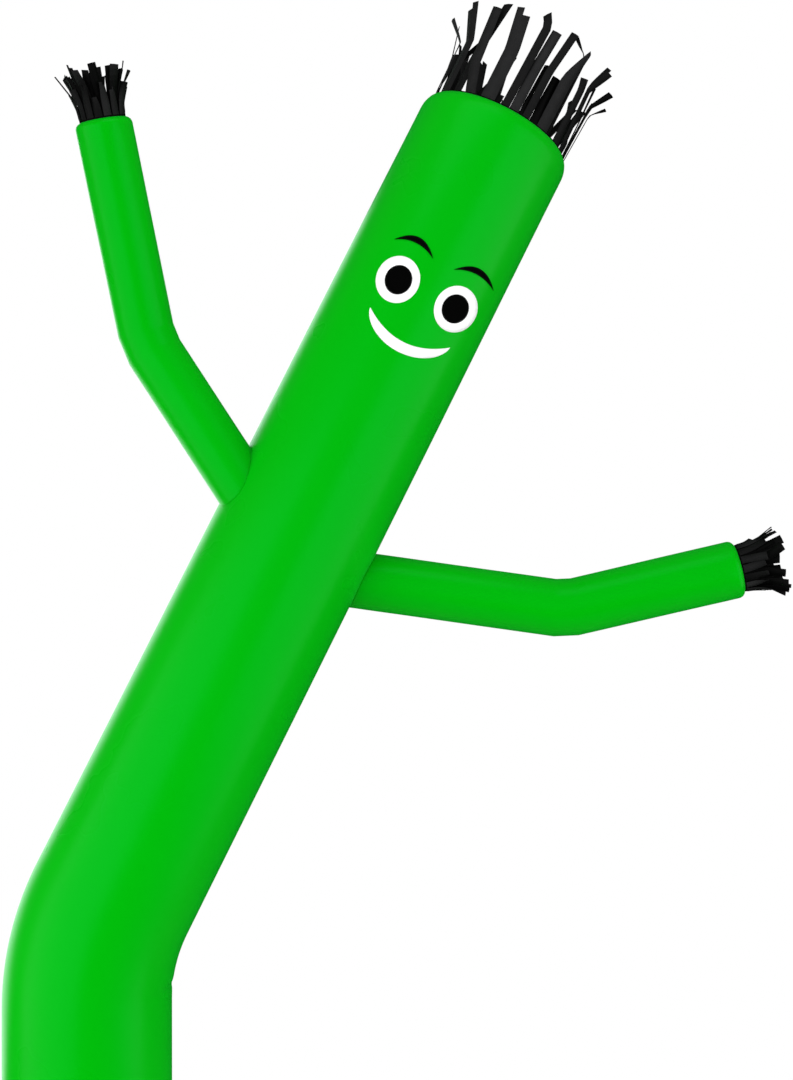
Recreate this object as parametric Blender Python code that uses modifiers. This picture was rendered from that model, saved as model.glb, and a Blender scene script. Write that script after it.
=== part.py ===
"""Inflatable tube dancer: a leaning body sleeve with two bent arm sleeves, cut fringes and a sewn-on face.

Metres, +Z up. The origin is the centre of the open foot, where the body goes over a blower's collar.
+X is the side that the body leans to, and the face looks along -Y.
"""

from math import acos, cos, pi, radians, sin, tan

import bmesh
import bpy
from mathutils import Matrix, Vector

# Body sleeve: 12 inches across and 10 feet long, bent once above the foot.
BODY_RADIUS = 0.1524
BODY_LENGTH = 3.05
BODY_WALL = 0.002
BODY_SIDES = 48
BEND_HEIGHT = 1.338
BEND_RADIUS = 0.42
LEAN_SIDEWAYS = radians(26.35)
LEAN_BACK = radians(5.2)
HEM_LENGTH = 0.05
HEM_PROUD = 0.0012
HEM_STEP = 0.003

# Open rims: how far each one is drawn in, and over what length.
HEAD_RIM_DRAW = 0.0115
HEAD_RIM_DEPTH = 0.028
HAND_RIM_DRAW = 0.0085
HAND_RIM_DEPTH = 0.012
RIM_TURN = radians(70)
RIM_STEPS = 4

# Arm sleeves. Each elbow is one straight facet between two creases.
ARM_WALL = 0.0015
ARM_SIDES = 24
ELBOW_RADIUS = 0.1
ELBOW_STEPS = 1
ARM_HOLE_REACH = 0.26

# One row for each arm. Distances are metres and angles are degrees from straight up, towards +X,
# and then towards +Y.
ARM_COLUMNS = ("name", "radius", "hand_radius", "below_rim", "set_back", "upper_length", "upper_angle",
               "upper_tilt", "fore_length", "fore_angle", "fore_tilt")
ARM_ROWS = (
    ("left", 0.0525, 0.0513, 0.907, -0.034, 0.462, -32.9, -1.8, 0.402, -10.1, -11.0),
    ("right", 0.0543, 0.0545, 0.943, 0.042, 0.548, 98.0, -0.7, 0.335, 76.6, -4.3),
)

# Clear space between pieces that touch.
GAP = 0.0003

# Head fringe: one strip of cloth cut into streamers, sewn inside the rim.
HEAD_BAND_RADIUS = 0.1388
HEAD_BAND_THICKNESS = 0.0018
HEAD_BAND_DROP = 0.012
HEAD_BAND_RISE = 0.0025
STREAMER_STEPS = 5
STREAMER_COLUMNS = ("angle", "width", "length", "lean", "curl", "sway_middle", "sway_tip")
# Angles, leans and curls are degrees, and widths, lengths and sways are millimetres. An angle is
# taken round the rim from the front towards +X. A lean is at the root and a curl is added by the tip.
# A sway is a shift along the rim, towards the greater angle.
FRONT_STREAMERS = (
    (-88, 21, 177, 0, 37, 3, -4),
    (-57, 26, 172, 3, 17, 13, -6),
    (-39, 22, 173, 1, 10, 4, 1),
    (-27.5, 19, 178, 7, 10, -9, 4),
    (-14.5, 27, 175, 8, 8, 1, -5),
    (2, 17.5, 189, 8, 8, 2, -10),
    (11, 16, 170, 6, 8, 0, -2),
    (20, 18, 186, 4, 8, -6, -2),
    (34, 30, 174, 1, 9, -6, -1),
    (55.5, 25, 174, 2, 17, -13, 5),
    (73, 22, 161, 4, 23, -14, 7),
    (88.5, 20, 151, 0, 38, -14, 9),
)
BACK_STREAMERS = (
    (103, 22, 158, 2, 26, -6, 4),
    (119, 24, 170, 3, 16, 5, -4),
    (134, 22, 166, 5, 12, -4, 6),
    (147, 20, 176, 7, 9, 6, -5),
    (160, 22, 168, 4, 10, -5, 3),
    (174, 24, 180, 8, 7, 4, -6),
    (188, 20, 166, 6, 9, -5, 2),
    (200, 19, 176, 7, 8, 3, 5),
    (213, 24, 170, 4, 10, -6, -3),
    (228, 22, 178, 5, 11, 5, 4),
    (241, 20, 164, 3, 15, -4, -5),
    (256, 22, 172, 2, 24, 6, 3),
)

# Hand fringes: two rows of narrow streamers on one backing, the inner row behind the outer row's gaps.
HAND_BAND_INSET = 0.0014
HAND_BAND_THICKNESS = 0.0015
HAND_BAND_DROP = 0.008
HAND_BAND_RISE = 0.002
HAND_STREAMERS = 16
HAND_STREAMER_LENGTH = 0.089
HAND_STREAMER_SPREAD = 1.8
HAND_STREAMER_STEPS = 4
SLOW_WAVE = 2.4
QUICK_WAVE = 5.1
SLOW_WAVE_SHARE = 0.6
HAND_UNEVEN_LENGTH = 0.13
HAND_UNEVEN_CURL = 0.25
HAND_UNEVEN_SWAY = 0.002
HAND_LEAN = radians(4)
HAND_CURL = radians(42)
INNER_ROW_SHARE = 0.86
INNER_ROW_LEAN = radians(1)
INNER_ROW_CURL = radians(30)

# Face: patches laid out flat, square to FACE_VIEW, and pressed onto the tube along it.
FACE_BELOW_RIM = 0.345
FACE_OFFSET = 0.0193
FACE_VIEW_TURN = radians(1.17)
FACE_VIEW_RISE = radians(9.3)
PATCH_THICKNESS = 0.0012
EYE_SPACING = 0.0592
EYE_HALF_WIDTH = 0.041
EYE_HALF_HEIGHT = 0.0436
PUPIL_SPACING = 0.058
PUPIL_HALF_WIDTH = 0.0245
PUPIL_HALF_HEIGHT = 0.0266
BROW_HEIGHT = 0.0612
BROW_LEFT_CENTRE = -0.0586
BROW_RIGHT_CENTRE = 0.0655
BROW_LEFT_HALF_WIDTH = 0.040
BROW_RIGHT_HALF_WIDTH = 0.0425
BROW_RISE = 0.024
BROW_HOLLOW = 0.009
SMILE_DROP = -0.067
SMILE_HALF_WIDTH = 0.081
SMILE_DEPTH = 0.050
SMILE_HOLLOW = 0.0305
SMILE_FULLNESS = 0.58
ARC_FULLNESS = 1.0
OVAL_POINTS = 40
CRESCENT_STEPS = 14
PATCH_REACH_CENTRE = 0.15
PATCH_REACH_HALF = 0.12

UP = Vector((0.0, 0.0, 1.0))
AWAY = Vector((0.0, 1.0, 0.0))


def clear_scene():
    for item in list(bpy.data.objects):
        bpy.data.objects.remove(item, do_unlink=True)


def new_collection(name):
    collection = bpy.data.collections.new(name)
    bpy.context.scene.collection.children.link(collection)
    return collection


def cloth_material(name, colour, roughness):
    material = bpy.data.materials.new(name)
    material.use_nodes = True
    shader = material.node_tree.nodes["Principled BSDF"]
    shader.inputs["Base Color"].default_value = (*colour, 1.0)
    shader.inputs["Roughness"].default_value = roughness
    shader.inputs["Metallic"].default_value = 0.0
    return material


def green_nylon():
    return cloth_material("green_nylon", (0.0, 0.479, 0.004), 0.45)


def black_nylon():
    return cloth_material("black_nylon", (0.013, 0.013, 0.013), 0.6)


def white_nylon():
    return cloth_material("white_nylon", (0.9, 0.9, 0.9), 0.5)


def direction(angle, tilt):
    """A unit direction from its angle off straight up, towards +X, and its tilt towards +Y."""
    return Vector((sin(angle) * cos(tilt), sin(tilt), cos(angle) * cos(tilt)))


def frame_at(point, along):
    """A frame at a point whose Z runs along a sleeve, with its Y as near +Y as can be."""
    back = (AWAY - along * AWAY.dot(along)).normalized()
    side = back.cross(along)
    return Matrix.Translation(point) @ Matrix((side, back, along)).transposed().to_4x4()


def bent_path(start, first, second, corner, length, bend_radius):
    """A function from distance along a sleeve to its centre point: straight, one round bend, straight."""
    turn = acos(first.dot(second))
    tangent = bend_radius * tan(turn / 2)
    bend_start = corner - tangent
    bend_end = bend_start + bend_radius * turn
    inward = (second - first * first.dot(second)).normalized()
    centre = start + first * bend_start + inward * bend_radius

    def point_at(distance):
        if distance <= bend_start:
            return start + first * distance
        if distance < bend_end:
            swing = (distance - bend_start) / bend_radius
            return centre + (first * sin(swing) - inward * cos(swing)) * bend_radius
        return start + first * corner + second * (tangent + distance - bend_end)

    return point_at, bend_start, bend_end


def spaced(low, high, steps):
    return [low + (high - low) * step / steps for step in range(steps + 1)]


def rim_rows(length, radius, draw, depth):
    """Stations near an open end, where the sleeve's radius is gathered in on a rounded shoulder."""
    rows = []
    for step in range(RIM_STEPS + 1):
        turn = RIM_TURN * step / RIM_STEPS
        along = length - depth * (1 - sin(turn) / sin(RIM_TURN))
        rows.append((along, radius - draw * (1 - cos(turn)) / (1 - cos(RIM_TURN))))
    return rows


def sleeve_surface(name, point_at, rows, sides, capped):
    """The skin of a sleeve through stations of (distance, radius), as a mesh object."""
    curve = bpy.data.curves.new(name, "CURVE")
    curve.dimensions = "3D"
    curve.twist_mode = "MINIMUM"
    curve.bevel_depth = 1.0
    curve.bevel_resolution = (sides - 4) // 2
    curve.use_fill_caps = capped
    spline = curve.splines.new("POLY")
    spline.points.add(len(rows) - 1)
    for point, (distance, radius) in zip(spline.points, rows):
        point.co = (*point_at(distance), 1.0)
        point.radius = radius
    return mesh_from_curve(name, curve, Matrix())


def mesh_from_curve(name, curve, place):
    """A mesh object in place of a curve, with the curve's loose caps welded."""
    holder = bpy.data.objects.new(name + "_curve", curve)
    bpy.context.scene.collection.objects.link(holder)
    bpy.context.view_layer.update()
    evaluated = holder.evaluated_get(bpy.context.evaluated_depsgraph_get())
    mesh = bpy.data.meshes.new_from_object(evaluated)
    mesh.name = name
    shape = bmesh.new()
    shape.from_mesh(mesh)
    bmesh.ops.remove_doubles(shape, verts=shape.verts, dist=0.00001)
    shape.to_mesh(mesh)
    shape.free()
    bpy.data.objects.remove(holder)
    made = bpy.data.objects.new(name, mesh)
    made.matrix_world = place
    return made


def add_wall(piece, thickness, side):
    wall = piece.modifiers.new("wall", "SOLIDIFY")
    wall.thickness = thickness
    wall.offset = side
    wall.use_even_offset = True


def add_boolean(piece, cutter, operation):
    cut = piece.modifiers.new(cutter.name, "BOOLEAN")
    cut.operation = operation
    cut.solver = "EXACT"
    cut.object = cutter


def finish_part(piece, collection, material):
    collection.objects.link(piece)
    piece.data.materials.clear()
    piece.data.materials.append(material)
    piece.data.shade_smooth()
    piece.data.set_sharp_from_angle(angle=radians(35))
    return piece


def finish_cutter(piece, collection):
    collection.objects.link(piece)
    piece.hide_render = True
    piece.display_type = "WIRE"
    return piece


def body_path():
    lean = direction(LEAN_SIDEWAYS, LEAN_BACK)
    return bent_path(Vector(), UP, lean, BEND_HEIGHT, BODY_LENGTH, BEND_RADIUS)


def body_rows(proud):
    """Stations of the body sleeve from the foot to the head's rim, all of them proud by a set amount."""
    point_at, bend_start, bend_end = body_path()
    rows = [(0.0, BODY_RADIUS + HEM_PROUD), (HEM_LENGTH, BODY_RADIUS + HEM_PROUD)]
    rows += [(distance, BODY_RADIUS) for distance in spaced(HEM_LENGTH + HEM_STEP, bend_start, 2)]
    rows += [(distance, BODY_RADIUS) for distance in spaced(bend_start, bend_end, 8)[1:]]
    rows += [(distance, BODY_RADIUS) for distance in spaced(bend_end, BODY_LENGTH - HEAD_RIM_DEPTH, 3)[1:-1]]
    rows += rim_rows(BODY_LENGTH, BODY_RADIUS, HEAD_RIM_DRAW, HEAD_RIM_DEPTH)
    return [(distance, radius + proud) for distance, radius in rows]


def body_point(below_rim):
    point_at, bend_start, bend_end = body_path()
    return point_at(BODY_LENGTH - below_rim)


def make_body(collection, material):
    point_at, bend_start, bend_end = body_path()
    body = sleeve_surface("body_tube", point_at, body_rows(0.0), BODY_SIDES, False)
    add_wall(body, BODY_WALL, -1.0)
    return finish_part(body, collection, material)


def make_body_envelope(collection):
    """The body's filled-in outside and the clear space round it, which trims the roots of the arms."""
    point_at, bend_start, bend_end = body_path()
    envelope = sleeve_surface("body_envelope", point_at, body_rows(GAP), BODY_SIDES, True)
    return finish_cutter(envelope, collection)


def arm_path(arm):
    upper = direction(radians(arm["upper_angle"]), radians(arm["upper_tilt"]))
    fore = direction(radians(arm["fore_angle"]), radians(arm["fore_tilt"]))
    start = body_point(arm["below_rim"]) + AWAY * arm["set_back"]
    turn = acos(upper.dot(fore))
    bend_saving = ELBOW_RADIUS * (2 * tan(turn / 2) - turn)
    length = arm["upper_length"] + arm["fore_length"] - bend_saving
    point_at, bend_start, bend_end = bent_path(start, upper, fore, arm["upper_length"], length, ELBOW_RADIUS)
    return point_at, bend_start, bend_end, length, upper, fore


def make_arm(arm, envelope, collection, material):
    point_at, bend_start, bend_end, length, upper, fore = arm_path(arm)
    rows = [(distance, arm["radius"]) for distance in spaced(0.0, bend_start, 2)]
    rows += [(distance, arm["radius"]) for distance in spaced(bend_start, bend_end, ELBOW_STEPS)[1:]]
    rows += rim_rows(length, arm["hand_radius"], HAND_RIM_DRAW, HAND_RIM_DEPTH)
    sleeve = sleeve_surface("arm_" + arm["name"], point_at, rows, ARM_SIDES, False)
    add_wall(sleeve, ARM_WALL, -1.0)
    add_boolean(sleeve, envelope, "DIFFERENCE")
    return finish_part(sleeve, collection, material)


def cut_arm_hole(body, arm, collection):
    """A round hole in the body's wall, as wide as the inside of the arm that is sewn round it."""
    point_at, bend_start, bend_end, length, upper, fore = arm_path(arm)
    shape = bmesh.new()
    inside = arm["radius"] - ARM_WALL
    middle = point_at(0.0) + upper * (ARM_HOLE_REACH / 2)
    bmesh.ops.create_cone(shape, cap_ends=True, segments=ARM_SIDES, radius1=inside, radius2=inside,
                          depth=ARM_HOLE_REACH, matrix=frame_at(middle, upper))
    mesh = bpy.data.meshes.new("arm_hole_" + arm["name"])
    shape.to_mesh(mesh)
    shape.free()
    cutter = finish_cutter(bpy.data.objects.new(mesh.name, mesh), collection)
    add_boolean(body, cutter, "DIFFERENCE")


def rim_vector(angle):
    """Outwards from a rim's axis, at an angle from the front towards the side."""
    return Vector((sin(angle), -cos(angle), 0.0))


def make_band(shape, angles, radii, drop, rise):
    """A closed ring that backs a fringe, with one row of quads on top for each pair of radii."""
    ring = bmesh.ops.create_circle(shape, segments=len(angles), radius=radii[0])
    for vert, angle in zip(ring["verts"], angles):
        vert.co = rim_vector(angle) * radii[0] - UP * drop
    edges = list(shape.edges)
    for outer, inner in zip(radii, radii[1:]):
        made = bmesh.ops.extrude_edge_only(shape, edges=edges)["geom"]
        verts = [item for item in made if isinstance(item, bmesh.types.BMVert)]
        bmesh.ops.scale(shape, vec=(inner / outer, inner / outer, 1.0), verts=verts)
        moved = set(verts)
        edges = [edge for edge in shape.edges if set(edge.verts) <= moved]
    made = bmesh.ops.extrude_face_region(shape, geom=list(shape.faces))["geom"]
    verts = [item for item in made if isinstance(item, bmesh.types.BMVert)]
    bmesh.ops.translate(shape, vec=UP * (drop + rise), verts=verts)
    bmesh.ops.recalc_face_normals(shape, faces=shape.faces)
    return [item for item in made if isinstance(item, bmesh.types.BMFace)]


def face_near(faces, angle, radius):
    """The face of a band's top whose middle is at an angle and a radius."""
    spot = rim_vector(angle) * radius
    return min(faces, key=lambda face: (face.calc_center_median().xy - spot.xy).length)


def sway_at(row, share):
    """How far a streamer is off its straight line at a share of its length."""
    return 4 * row["sway_middle"] * share * (1 - share) + row["sway_tip"] * share * (2 * share - 1)


def grow_streamer(shape, face, angle, row):
    """A four-sided streamer drawn out of one face, leaning and then curling away from the axis."""
    outward = rim_vector(angle)
    across = UP.cross(outward)
    steps = row["steps"]
    heading = row["lean"]
    for step in range(1, steps + 1):
        face = bmesh.ops.extrude_discrete_faces(shape, faces=[face])["faces"][0]
        next_heading = row["lean"] + row["curl"] * (step / steps) ** 2
        middle_heading = (heading + next_heading) / 2
        move = (outward * sin(middle_heading) + UP * cos(middle_heading)) * (row["length"] / steps)
        sway = sway_at(row, step / steps) - sway_at(row, (step - 1) / steps)
        bmesh.ops.translate(shape, vec=move + across * sway, verts=face.verts)
        turn = next_heading if step == 1 else next_heading - heading
        bmesh.ops.rotate(shape, cent=face.calc_center_median(), verts=face.verts,
                         matrix=Matrix.Rotation(turn, 3, across))
        if step == 1:
            widen(face, across, row["spread"])
        heading = next_heading


def widen(face, across, spread):
    """A streamer's face made wider along the rim, about its own middle."""
    middle = face.calc_center_median()
    for vert in face.verts:
        vert.co += across * ((vert.co - middle).dot(across) * (spread - 1))


def fringe_object(name, shape, place, collection, material):
    bmesh.ops.recalc_face_normals(shape, faces=shape.faces)
    shape.transform(place)
    mesh = bpy.data.meshes.new(name)
    shape.to_mesh(mesh)
    shape.free()
    return finish_part(bpy.data.objects.new(name, mesh), collection, material)


def make_head_fringe(collection, material):
    shape = bmesh.new()
    inner = HEAD_BAND_RADIUS - HEAD_BAND_THICKNESS
    angles = []
    streamers = []
    for values in FRONT_STREAMERS + BACK_STREAMERS:
        row = dict(zip(STREAMER_COLUMNS, values))
        middle = radians(row["angle"])
        half = row["width"] / 1000 / HEAD_BAND_RADIUS / 2
        angles += [middle - half, middle + half]
        streamers.append((middle, {"length": row["length"] / 1000, "lean": radians(row["lean"]),
                                   "curl": radians(row["curl"]), "sway_middle": row["sway_middle"] / 1000,
                                   "sway_tip": row["sway_tip"] / 1000, "steps": STREAMER_STEPS,
                                   "spread": 1.0}))
    top = make_band(shape, angles, (HEAD_BAND_RADIUS, inner), HEAD_BAND_DROP, HEAD_BAND_RISE)
    roots = [face_near(top, middle, inner) for middle, row in streamers]
    for face, (middle, row) in zip(roots, streamers):
        grow_streamer(shape, face, middle, row)
    lean = direction(LEAN_SIDEWAYS, LEAN_BACK)
    return fringe_object("head_fringe", shape, frame_at(body_point(0.0), lean), collection, material)


def hand_streamer_row(index, inner_row):
    """The measures of one streamer on a hand, uneven from one to the next."""
    uneven = sin(index * SLOW_WAVE) * SLOW_WAVE_SHARE + sin(index * QUICK_WAVE) * (1 - SLOW_WAVE_SHARE)
    row = {"length": HAND_STREAMER_LENGTH * (1 + HAND_UNEVEN_LENGTH * uneven), "lean": HAND_LEAN,
           "curl": HAND_CURL * (1 + HAND_UNEVEN_CURL * uneven), "sway_middle": 0.0,
           "sway_tip": HAND_UNEVEN_SWAY * uneven,
           "steps": HAND_STREAMER_STEPS, "spread": HAND_STREAMER_SPREAD}
    if inner_row:
        row["length"] *= INNER_ROW_SHARE
        row["lean"] = INNER_ROW_LEAN
        row["curl"] = INNER_ROW_CURL
    return row


def make_hand_fringe(arm, collection, material):
    point_at, bend_start, bend_end, length, upper, fore = arm_path(arm)
    shape = bmesh.new()
    outside = arm["hand_radius"] - HAND_RIM_DRAW - HAND_BAND_INSET
    radii = [outside - HAND_BAND_THICKNESS * row for row in range(4)]
    count = 2 * HAND_STREAMERS
    angles = [2 * pi * (index - 0.5) / count for index in range(count)]
    top = make_band(shape, angles, radii, HAND_BAND_DROP, HAND_BAND_RISE)
    roots = []
    for index in range(count):
        inner_row = index % 2 == 1
        radius = (radii[2] + radii[3]) / 2 if inner_row else (radii[0] + radii[1]) / 2
        middle = 2 * pi * index / count
        roots.append((face_near(top, middle, radius), middle, hand_streamer_row(index, inner_row)))
    for face, middle, row in roots:
        grow_streamer(shape, face, middle, row)
    place = frame_at(point_at(length), fore)
    return fringe_object("hand_fringe_" + arm["name"], shape, place, collection, material)


def face_frame():
    """The flat layout of the face: X across it, Y up along the body and Z towards whoever looks at it."""
    along = direction(LEAN_SIDEWAYS, LEAN_BACK)
    turned = Vector((sin(FACE_VIEW_TURN), cos(FACE_VIEW_TURN), 0.0))
    towards = -(turned * cos(FACE_VIEW_RISE) + UP * sin(FACE_VIEW_RISE))
    upward = (along - towards * along.dot(towards)).normalized()
    across = upward.cross(towards)
    middle = body_point(FACE_BELOW_RIM) + across * FACE_OFFSET
    return Matrix.Translation(middle) @ Matrix((across, upward, towards)).transposed().to_4x4()


def oval(centre, half_width, half_height):
    turns = [2 * pi * index / OVAL_POINTS for index in range(OVAL_POINTS)]
    return [(centre[0] + half_width * cos(turn), centre[1] + half_height * sin(turn)) for turn in turns]


def crescent(centre, half_width, outer, inner, fullness):
    """A crescent between two arcs on one chord. A negative depth bulges downwards."""
    shares = [cos(pi * step / CRESCENT_STEPS) for step in range(CRESCENT_STEPS + 1)]
    far = [(share, outer * (1 - share ** 2) ** fullness) for share in shares]
    near = [(share, inner * (1 - share ** 2) ** ARC_FULLNESS) for share in shares[-2:0:-1]]
    return [(centre[0] + half_width * share, centre[1] + height) for share, height in far + near]


def outline_cutter(name, points, collection):
    """A flat outline drawn out into a bar that reaches through the front of the tube."""
    curve = bpy.data.curves.new(name, "CURVE")
    curve.dimensions = "2D"
    curve.fill_mode = "BOTH"
    curve.extrude = PATCH_REACH_HALF
    spline = curve.splines.new("POLY")
    spline.points.add(len(points) - 1)
    for point, (across, upward) in zip(spline.points, points):
        point.co = (across, upward, 0.0, 1.0)
    spline.use_cyclic_u = True
    place = face_frame() @ Matrix.Translation((0.0, 0.0, PATCH_REACH_CENTRE))
    return finish_cutter(mesh_from_curve(name, curve, place), collection)


def make_patch(name, points, layer, parts, cutters, material):
    """A thin patch of an outline's shape, curved to the tube, on the body or on another patch."""
    point_at, bend_start, bend_end = body_path()
    proud = GAP + layer * (PATCH_THICKNESS + GAP)
    patch = sleeve_surface(name, point_at, body_rows(proud), BODY_SIDES, False)
    add_wall(patch, PATCH_THICKNESS, 1.0)
    add_boolean(patch, outline_cutter(name + "_outline", points, cutters), "INTERSECT")
    return finish_part(patch, parts, material)


def make_face(parts, cutters, white, black):
    for side, name in ((-1, "left"), (1, "right")):
        eye = oval((side * EYE_SPACING, 0.0), EYE_HALF_WIDTH, EYE_HALF_HEIGHT)
        make_patch("eye_white_" + name, eye, 0, parts, cutters, white)
        pupil = oval((side * PUPIL_SPACING, 0.0), PUPIL_HALF_WIDTH, PUPIL_HALF_HEIGHT)
        make_patch("pupil_" + name, pupil, 1, parts, cutters, black)
    for name, across, half in (("left", BROW_LEFT_CENTRE, BROW_LEFT_HALF_WIDTH),
                               ("right", BROW_RIGHT_CENTRE, BROW_RIGHT_HALF_WIDTH)):
        brow = crescent((across, BROW_HEIGHT), half, BROW_RISE, BROW_HOLLOW, ARC_FULLNESS)
        make_patch("brow_" + name, brow, 0, parts, cutters, black)
    smile = crescent((0.0, SMILE_DROP), SMILE_HALF_WIDTH, -SMILE_DEPTH, -SMILE_HOLLOW, SMILE_FULLNESS)
    make_patch("smile", smile, 0, parts, cutters, white)


def main():
    clear_scene()
    parts = new_collection("inflatable_air_dancer")
    cutters = new_collection("cutters")
    green = green_nylon()
    black = black_nylon()
    white = white_nylon()
    arms = [dict(zip(ARM_COLUMNS, values)) for values in ARM_ROWS]
    body = make_body(parts, green)
    envelope = make_body_envelope(cutters)
    for arm in arms:
        cut_arm_hole(body, arm, cutters)
        make_arm(arm, envelope, parts, green)
        make_hand_fringe(arm, parts, black)
    make_head_fringe(parts, black)
    make_face(parts, cutters, white, black)


main()
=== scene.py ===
# Tube dancer: an open nylon sleeve held up by blown air, with two arm sleeves, cut fringes and a sewn face.
# Metres, +Z up. The sleeve leans towards +X and the face looks along -Y.
from math import acos, atan2, ceil, cos, exp, pi, radians, sin, sqrt, tan
from random import Random

import bmesh
import bpy
from mathutils import Matrix, Vector, noise


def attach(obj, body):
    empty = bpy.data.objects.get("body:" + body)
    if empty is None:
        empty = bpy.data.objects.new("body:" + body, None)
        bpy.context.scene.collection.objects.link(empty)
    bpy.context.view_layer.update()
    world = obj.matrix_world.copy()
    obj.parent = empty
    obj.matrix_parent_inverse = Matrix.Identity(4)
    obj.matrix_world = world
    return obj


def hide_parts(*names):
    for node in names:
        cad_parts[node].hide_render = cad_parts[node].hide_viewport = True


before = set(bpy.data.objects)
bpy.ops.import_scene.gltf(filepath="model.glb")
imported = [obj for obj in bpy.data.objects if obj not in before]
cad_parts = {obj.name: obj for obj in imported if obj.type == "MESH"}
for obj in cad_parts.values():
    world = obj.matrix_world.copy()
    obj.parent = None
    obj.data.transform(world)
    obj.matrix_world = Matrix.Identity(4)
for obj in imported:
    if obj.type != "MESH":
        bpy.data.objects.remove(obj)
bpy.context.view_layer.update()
print("frame loaded:", len(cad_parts), "CAD nodes")

up = Vector((0, 0, 1))
toBack = Vector((0, 1, 0))
slack = 0.0001           # how near two lengths are when they count as one


def linear(hexColour):
    # an sRGB hex colour as the linear RGBA that shaders take
    parts = [int(hexColour[i:i + 2], 16) / 255 for i in (1, 3, 5)]
    return tuple(p / 12.92 if p <= 0.04045 else ((p + 0.055) / 1.055) ** 2.4 for p in parts) + (1.0,)


def joinNode(tree, node, links):
    for name, socket in links.items():
        tree.links.new(socket, node.inputs[name])


def addNode(tree, kind, settings=None, inputs=None, links=None):
    # one shader node with its settings, its fixed inputs and its links
    node = tree.nodes.new("ShaderNode" + kind)
    for name, value in (settings or {}).items():
        setattr(node, name, value)
    for name, value in (inputs or {}).items():
        node.inputs[name].default_value = value
    joinNode(tree, node, links or {})
    return node


def newMaterial(name, inputs):
    # a material with a Principled shader on its output, and that shader's fixed inputs
    material = bpy.data.materials.new(name)
    material.use_nodes = True
    tree = material.node_tree
    tree.nodes.clear()
    shader = addNode(tree, "BsdfPrincipled", None, inputs)
    addNode(tree, "OutputMaterial", links={"Surface": shader.outputs[0]})
    return material, tree, shader


def waveScale(period):
    # a Wave texture repeats every 2 pi / 20 at scale 1
    return 2 * pi / 20 / period


def leanTo(angle, tilt):
    # a unit direction from degrees off straight up towards +X, and then degrees towards +Y
    angle, tilt = radians(angle), radians(tilt)
    return Vector((sin(angle) * cos(tilt), sin(tilt), cos(angle) * cos(tilt)))


def standOn(point, along):
    # a frame whose Z runs along a sleeve, with its Y as near to the back as can be
    back = (toBack - along * toBack.dot(along)).normalized()
    return Matrix.Translation(point) @ Matrix((back.cross(along), back, along)).transposed().to_4x4()


def rimVector(angle):
    # outwards from a sleeve's axis, at an angle from the front towards the side
    return Vector((sin(angle), -cos(angle), 0))


def spaced(low, high, step):
    # values from low to high, no further apart than step
    count = max(1, ceil((high - low) / step))
    return [low + (high - low) * i / count for i in range(count + 1)]


def drawOut(shape, chain, closed):
    # extrudes a chain of vertices and gives the new chain in the same order
    pairs = list(zip(chain, chain[1:])) + ([(chain[-1], chain[0])] if closed else [])
    made = bmesh.ops.extrude_edge_only(shape, edges=[shape.edges.get(pair) for pair in pairs])["geom"]
    fresh = {item for item in made if isinstance(item, bmesh.types.BMVert)}
    return [next(e.other_vert(v) for e in v.link_edges if e.other_vert(v) in fresh) for v in chain]


def layUv(shape, place, wrap=None):
    # UVs in metres from each vertex's place on the flat cloth; wrap is the width of a cloth sewn into a ring
    layer = shape.loops.layers.uv.new("clothUv")
    for face in shape.faces:
        spots = [place[v] for v in face.verts]
        across = wrap and max(s[0] for s in spots) - min(s[0] for s in spots) > wrap / 2
        for loop in face.loops:
            u, v = place[loop.vert]
            loop[layer].uv = (u + (wrap if across and u < 0 else 0), v)


def meshOf(name, shape):
    mesh = bpy.data.meshes.new(name)
    shape.to_mesh(mesh)
    shape.free()
    return mesh


def addObject(name, data):
    made = bpy.data.objects.new(name, data)
    bpy.context.scene.collection.objects.link(made)
    return made


def finishPiece(name, shape, material, thickness=None, offset=-1.0):
    # the shape as an object that rides on the root, with a cloth's thickness if it has one
    mesh = meshOf(name, shape)
    mesh.materials.append(material)
    mesh.shade_smooth()
    piece = addObject(name, mesh)
    if thickness:
        wall = piece.modifiers.new("cloth", "SOLIDIFY")
        wall.thickness = thickness
        wall.offset = offset
        wall.use_even_offset = True
    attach(piece, "root")
    return piece


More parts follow.
